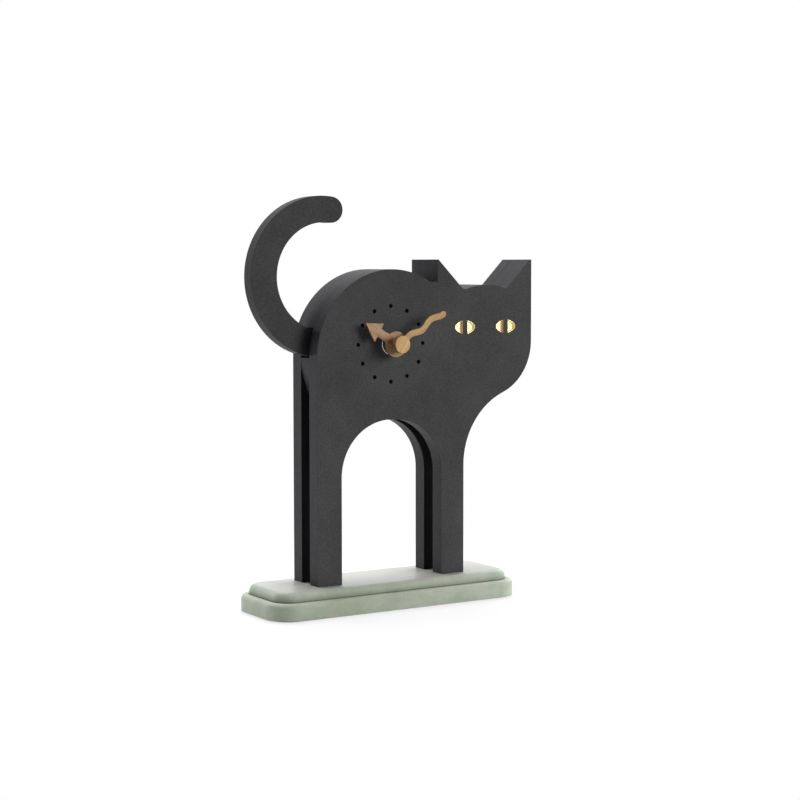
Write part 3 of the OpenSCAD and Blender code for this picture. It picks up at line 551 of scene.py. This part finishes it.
def dress(node, mesh, finish):
    """Puts a piece in a node's place: on the same body, with its own finish."""
    mesh.materials.clear()
    mesh.materials.append(finish)
    piece = bpy.data.objects.new(node + "_dressed", mesh)
    bpy.context.scene.collection.objects.link(piece)
    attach(piece, NODES[node]["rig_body"])
    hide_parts(node)
    weighted = piece.modifiers.new("flat faces stay flat", "WEIGHTED_NORMAL")
    weighted.mode = "FACE_AREA"
    weighted.weight = 100
    weighted.keep_sharp = True


def paint(node, finish):
    """Gives its finish to a node whose shape stays as it is."""
    materials = NODES[node].data.materials
    if len(materials) == 0:
        materials.append(finish)
    for i in range(len(materials)):
        materials[i] = finish


# ---- Settings ----

class ClockFinishes(bpy.types.PropertyGroup):
    """Colours of the clock"""
    board: FloatVectorProperty(
        name="Board", description="Colour of the dyed board", subtype="COLOR",
        size=3, min=0.0, max=1.0, default=(0.0690, 0.0688, 0.0693))
    board_soft: FloatVectorProperty(
        name="Board clouds", description="Colour of the board's lighter clouds", subtype="COLOR",
        size=3, min=0.0, max=1.0, default=(0.0752, 0.0752, 0.0757))
    board_cut: FloatVectorProperty(
        name="Board edge", description="Colour of the board's cut edges", subtype="COLOR",
        size=3, min=0.0, max=1.0, default=(0.045, 0.0415, 0.047))
    base_pale: FloatVectorProperty(
        name="Base, pale", description="Palest colour of the base", subtype="COLOR",
        size=3, min=0.0, max=1.0, default=(0.548, 0.592, 0.483))
    # The paler top colour is a painted reflection of the white backdrop.
    base_top_reflection: FloatVectorProperty(
        name="Base, top", description="Colour of the paler top of the base", subtype="COLOR",
        size=3, min=0.0, max=1.0, default=(0.505, 0.502, 0.466))
    base_green: FloatVectorProperty(
        name="Base, green", description="Middle colour of the base", subtype="COLOR",
        size=3, min=0.0, max=1.0, default=(0.430, 0.506, 0.397))
    base_olive: FloatVectorProperty(
        name="Base, olive", description="Darker blotches of the base", subtype="COLOR",
        size=3, min=0.0, max=1.0, default=(0.470, 0.498, 0.364))
    brass: FloatVectorProperty(
        name="Eyes", description="Colour of the eyes' brass", subtype="COLOR",
        size=3, min=0.0, max=1.0, default=(0.57, 0.485, 0.225))
    wood_light: FloatVectorProperty(
        name="Hands, light", description="Light grain of the hands", subtype="COLOR",
        size=3, min=0.0, max=1.0, default=(0.72, 0.445, 0.22))
    wood_dark: FloatVectorProperty(
        name="Hands, dark", description="Dark grain of the hands", subtype="COLOR",
        size=3, min=0.0, max=1.0, default=(0.37, 0.20, 0.092))


class ClockEdges(bpy.types.PropertyGroup):
    """Sizes of the eased edges"""
    board: FloatProperty(
        name="Board edge", description="Eased edge of the boards, washer and nut", unit="LENGTH",
        min=0.0, max=1.0 * MM, default=0.22 * MM)
    slab: FloatProperty(
        name="Slab edge", description="Eased lower edge of the slabs", unit="LENGTH",
        min=0.0, max=1.0 * MM, default=0.35 * MM)
    hand: FloatProperty(
        name="Hand edge", description="Eased edge of the hands, the cap and the knob", unit="LENGTH",
        min=0.0, max=0.5 * MM, default=0.12 * MM)
    tray: FloatProperty(
        name="Eye corner", description="Radius between a brass tray's floor and walls", unit="LENGTH",
        min=0.0, max=2.0 * MM, default=0.9 * MM)
    plastic: FloatProperty(
        name="Case edge", description="Eased edge of the movement's case", unit="LENGTH",
        min=0.0, max=1.0 * MM, default=0.3 * MM)
    segments: IntProperty(
        name="Segments", description="Faces across each eased edge", min=1, max=4, default=2)
    metal_segments: IntProperty(
        name="Metal segments", description="Faces across the edges of washer and nut", min=1, max=4,
        default=3)
    tray_segments: IntProperty(
        name="Tray segments", description="Faces across the corners of the brass trays", min=1, max=8,
        default=5)


class ClockStage(bpy.types.PropertyGroup):
    """Camera and lights"""
    lens: FloatProperty(
        name="Lens", description="Focal length", subtype="DISTANCE_CAMERA", default=81.34)
    key_power: FloatProperty(
        name="Key light", description="Power of the lamp at the right, in front", unit="POWER",
        default=10.6)
    top_power: FloatProperty(
        name="Top light", description="Power of the softbox above", unit="POWER", default=17.0)
    card_power: FloatProperty(
        name="Card", description="Power of the low white card at the right", unit="POWER", default=0.85)
    side_power: FloatProperty(
        name="Side light", description="Power of the lamp behind the right end", unit="POWER",
        default=3.4)
    sky: FloatProperty(
        name="Room", description="Light from the room in front", min=0.0, max=3.0, default=0.04)
    backdrop: FloatProperty(
        name="Backdrop", description="Light from the white backdrop", min=0.0, max=3.0, default=0.95)
    shadow: FloatProperty(
        name="Shadow", description="Strength of the shadow on the floor", subtype="FACTOR",
        min=0.0, max=1.0, default=0.25)


# ---- Operators ----

class CLOCK_OT_boards(bpy.types.Operator):
    """Eases and stains the boards of the cat and its tail"""
    bl_idname = "clock.boards"
    bl_label = "Boards"

    def execute(self, context):
        finish = context.scene.clock_finishes
        edges = context.scene.clock_edges
        dyes = tuple(finish.board), tuple(finish.board_soft), tuple(finish.board_cut)
        # The body's boards carry painted shade in the gap between the boards and on the edges above the
        # tail; the tail carries a painted shadow close to its pin.
        body_board = material("stained_board", fibreboard, *dyes, inner=0.65, handled=0.52)
        tail_board = material("stained_tail", fibreboard, *dyes, sunk=0.6)
        for node in ("front_board", "core_board", "back_board", "tail"):
            stained = tail_board if node == "tail" else body_board
            dress(node, eased_copy(node, edges.board, edges.segments), stained)
        return {"FINISHED"}


class CLOCK_OT_base(bpy.types.Operator):
    """Lacquers the two slabs and felts the base"""
    bl_idname = "clock.base"
    bl_label = "Base"

    def execute(self, context):
        finish = context.scene.clock_finishes
        edges = context.scene.clock_edges
        lacquer = material(
            "sage_lacquer", lacquered_base, tuple(finish.base_pale), tuple(finish.base_green),
            tuple(finish.base_olive), tuple(finish.base_top_reflection))
        for node in ("base_lower_slab", "base_upper_slab"):
            dress(node, eased_copy(node, edges.slab, edges.segments), lacquer)
        paint("base_felt", material("black_felt", felted, (0.03, 0.03, 0.032)))
        return {"FINISHED"}


class CLOCK_OT_eyes(bpy.types.Operator):
    """Polishes the brass half eyes"""
    bl_idname = "clock.eyes"
    bl_label = "Eyes"

    def execute(self, context):
        gold = tuple(context.scene.clock_finishes.brass)
        edges = context.scene.clock_edges
        # Painted light and shade: trays whose right wall is at the slit get darker walls and rims, and
        # trays whose right wall is at the point get lighter ones.
        slit_side_shading = (0.66, 0.41, 0.26), (0.21, 0.145, 0.08)
        point_side_shading = (0.88, 0.76, 0.42), (0.52, 0.43, 0.17)
        right_halves = ("left_eye_inner_brass", "right_eye_outer_brass")
        for node in NODES:
            if node.endswith("_brass"):
                wall_shading, rim_shading = point_side_shading if node in right_halves else slit_side_shading
                brass = material(node + "_polish", eye_metal, node, gold, wall_shading, rim_shading)
                dress(node, tray_copy(node, edges.tray, edges.tray_segments), brass)
        return {"FINISHED"}


class CLOCK_OT_hands(bpy.types.Operator):
    """Eases the wooden hands and the cap, and gives each its grain"""
    bl_idname = "clock.hands"
    bl_label = "Hands"

    def execute(self, context):
        finish = context.scene.clock_finishes
        edges = context.scene.clock_edges
        light, dark = tuple(finish.wood_light), tuple(finish.wood_dark)
        grain = {
            "hour_hand": (math.radians(149.0), (0.88, 0.90, 1.04)),
            "minute_hand": (math.radians(30.0), (1.14, 1.18, 1.10)),
            "hand_cap": (math.radians(62.0), (1.33, 1.42, 1.28)),
        }
        for node, (angle, tint) in grain.items():
            tinted = [tuple(c * t for c, t in zip(colour, tint)) for colour in (light, dark)]
            wood = material(node + "_wood", timber, *tinted, (0.0, angle, 0.0), burnt=0.7)
            dress(node, eased_copy(node, edges.hand, edges.segments), wood)
        return {"FINISHED"}


class CLOCK_OT_dial_metal(bpy.types.Operator):
    """Plates the washer on the dial and the small metal parts, paints a dark reflection on the washer's
    flat faces, and makes the nut dark.
    """
    bl_idname = "clock.dial_metal"
    bl_label = "Dial washer and nut"

    def execute(self, context):
        edges = context.scene.clock_edges
        plated = {"brush": (300.0, 300.0, 300.0), "tarnish": 0.06}
        nickel = material("bright_nickel", metal, (0.72, 0.70, 0.66), 0.07, streak=0.25, **plated)
        for node in ("quartz_crystal", "positive_contact", "negative_contact"):
            paint(node, nickel)
        finishes = {
            # The washer's flat faces get a painted dark reflection.
            "dial_washer": material(
                "washer_nickel", metal, (0.97, 0.96, 0.94), 0.04, streak=0.1, dim_face=0.85, **plated),
            # A dark metal nut.
            "dial_nut": material("blackened_nut", metal, (0.10, 0.10, 0.10), 0.35),
        }
        for node, finish in finishes.items():
            dress(node, eased_copy(node, edges.board, edges.metal_segments), finish)
        paint("dial_gasket", material("gasket_rubber", moulded, (0.02, 0.02, 0.02), rough=0.6))
        return {"FINISHED"}


class CLOCK_OT_case(bpy.types.Operator):
    """Eases the movement's case and its setting knob"""
    bl_idname = "clock.case"
    bl_label = "Movement case"

    def execute(self, context):
        edges = context.scene.clock_edges
        black = material("case_plastic", moulded, (0.016, 0.016, 0.018), rough=0.42, depth=0.3)
        dress("movement_case", eased_copy("movement_case", edges.plastic, edges.segments), black)
        dress("setting_knob", eased_copy("setting_knob", edges.hand, edges.segments), white_acetal())
        paint("movement_cover", black)
        return {"FINISHED"}


class CLOCK_OT_train(bpy.types.Operator):
    """Finishes the wheels, the plates, the motor, the circuit and the cell"""
    bl_idname = "clock.train"
    bl_label = "Train and cell"

    def execute(self, context):
        finishes = {
            "white_plastic": white_acetal(),
            "screw_steel": material("plated_steel", metal, (0.62, 0.62, 0.63), 0.30),
            "soft_iron": material(
                "motor_iron", metal, (0.42, 0.42, 0.43), 0.38,
                brush=(900.0, 900.0, 300.0), tarnish=0.3),
            "magnet_grey": material(
                "rotor_magnet", metal, (0.20, 0.20, 0.21), 0.45,
                brush=(700.0, 700.0, 700.0), tarnish=0.3),
            "copper_wire": material("enamelled_wire", winding, (0.60, 0.24, 0.09)),
            "board_green": material("circuit_mask", circuit, (0.02, 0.14, 0.05)),
            "battery_foil": material(
                "cell_foil", cell_sleeve, (0.02, 0.02, 0.022), (0.50, 0.26, 0.08), (0.66, 0.66, 0.66)),
            "dowel_wood": material(
                "dowel_beech", timber, (0.58, 0.40, 0.24), (0.46, 0.30, 0.16),
                (0.0, 0.0, math.radians(90.0))),
        }
        for node in NODES:
            if SLOTS[node] in finishes and node != "setting_knob":
                paint(node, finishes[SLOTS[node]])
        return {"FINISHED"}


class CLOCK_OT_stage(bpy.types.Operator):
    """Sets up the camera, the white room and the lights"""
    bl_idname = "clock.stage"
    bl_label = "Stage"

    def execute(self, context):
        scene = context.scene
        stage = scene.clock_stage
        self.camera(scene, stage)
        self.room(scene, stage)
        self.floor(scene, stage)
        for name, (place, width, colour) in LAMPS.items():
            self.lamp(scene, name, place, width, colour, getattr(stage, name + "_power"))
        return {"FINISHED"}

    def camera(self, scene, stage):
        data = bpy.data.cameras.new("camera")
        data.sensor_width = 36.0
        data.lens = stage.lens
        data.clip_start, data.clip_end = 0.05, 20.0
        camera = bpy.data.objects.new("camera", data)
        camera.location = CAMERA_PLACE
        level = math.cos(CAMERA_PITCH)
        forward = Vector((
            math.sin(CAMERA_YAW) * level, math.cos(CAMERA_YAW) * level, -math.sin(CAMERA_PITCH)))
        upright = forward.to_track_quat("-Z", "Y").to_matrix().to_4x4()
        turn = upright @ Matrix.Rotation(CAMERA_ROLL, 4, "Z")
        camera.rotation_euler = turn.to_euler()
        scene.collection.objects.link(camera)
        scene.camera = camera

    def room(self, scene, stage):
        """White wherever it is looked at; as a light, dim in front and bright behind."""
        world = bpy.data.worlds.new("white_room")
        world.use_nodes = True
        g = Graph(world.node_tree)
        direction = g.node("ShaderNodeTexCoord", {}, {}, output="Generated")
        behind = g.axis(direction, "Y").span(*BACKDROP_RISES)
        level = stage.sky + (stage.backdrop - stage.sky) * behind
        soft = g.node("ShaderNodeBackground", {}, {"Color": WHITE, "Strength": level})
        white = g.node("ShaderNodeBackground", {}, {"Color": WHITE, "Strength": 1.0})
        shown = g.mix_shaders(g.looked_at(), soft, white)
        g.feed(g.tree.nodes["World Output"].inputs["Surface"], shown)
        scene.world = world
        scene.view_settings.view_transform = "Standard"
        scene.view_settings.look = "None"

    def floor(self, scene, stage):
        """White wherever it is looked at, with the object's shadow close to it."""
        mesh = bpy.data.meshes.new("floor")
        corners = [(x * FLOOR_HALF, y * FLOOR_HALF, 0) for x, y in ((-1, -1), (1, -1), (1, 1), (-1, 1))]
        mesh.from_pydata(corners, [], [(0, 1, 2, 3)])
        floor = bpy.data.objects.new("floor", mesh)
        floor.location.z = -FLOOR_DROP
        g = Finish("floor_white", Roughness=0.8)
        point = g.place()
        east, north = g.axis(point, "X"), g.axis(point, "Y")
        g.set(Base_Color=g.mix(north.span(*FLOOR_LIT), (0.12, 0.12, 0.12), (0.95, 0.95, 0.95)))
        away = g.length(east, north).span(*SHADOW_FADES)
        paper = g.node("ShaderNodeBsdfDiffuse", {}, {"Color": WHITE})
        glow = g.node("ShaderNodeEmission", {}, {"Color": WHITE, "Strength": 1.0})
        lit = g.mix_shaders(1 - stage.shadow * (1 - away), paper, glow)
        bounce = Sock(g, g.shader.outputs[0])
        shown = g.mix_shaders(g.looked_at(), bounce, lit)
        g.feed(g.tree.nodes["Material Output"].inputs["Surface"], shown)
        mesh.materials.append(g.material)
        scene.collection.objects.link(floor)

    def lamp(self, scene, name, place, width, colour, power):
        data = bpy.data.lights.new(name, "AREA")
        data.shape = "DISK"
        data.size = width
        data.energy = power
        data.color = colour
        lamp = bpy.data.objects.new(name, data)
        lamp.location = place
        lamp.rotation_euler = (DIAL - Vector(place)).to_track_quat("-Z", "Y").to_euler()
        scene.collection.objects.link(lamp)


class CLOCK_PT_panel(bpy.types.Panel):
    """Lists the settings and the steps"""
    bl_idname = "CLOCK_PT_panel"
    bl_label = "Cat Tail Clock"
    bl_space_type = "VIEW_3D"
    bl_region_type = "UI"
    bl_category = "Clock"

    def draw(self, context):
        for key in GROUPS:
            group = getattr(context.scene, key)
            box = self.layout.box()
            for name in group.__annotations__:
                box.prop(group, name)
        for step in STEPS:
            self.layout.operator(step.bl_idname)


GROUPS = {"clock_finishes": ClockFinishes, "clock_edges": ClockEdges, "clock_stage": ClockStage}
STEPS = (
    CLOCK_OT_boards, CLOCK_OT_base, CLOCK_OT_eyes, CLOCK_OT_hands,
    CLOCK_OT_dial_metal, CLOCK_OT_case, CLOCK_OT_train, CLOCK_OT_stage,
)


def register():
    for name, group in GROUPS.items():
        bpy.utils.register_class(group)
        setattr(bpy.types.Scene, name, PointerProperty(type=group))
    for step in STEPS:
        bpy.utils.register_class(step)
    bpy.utils.register_class(CLOCK_PT_panel)


def unregister():
    bpy.utils.unregister_class(CLOCK_PT_panel)
    for step in reversed(STEPS):
        bpy.utils.unregister_class(step)
    for name, group in GROUPS.items():
        delattr(bpy.types.Scene, name)
        bpy.utils.unregister_class(group)


def main():
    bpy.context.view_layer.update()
    register()
    for step in STEPS:
        group, name = step.bl_idname.split(".")
        getattr(getattr(bpy.ops, group), name)()


if __name__ == "__main__":
    main()
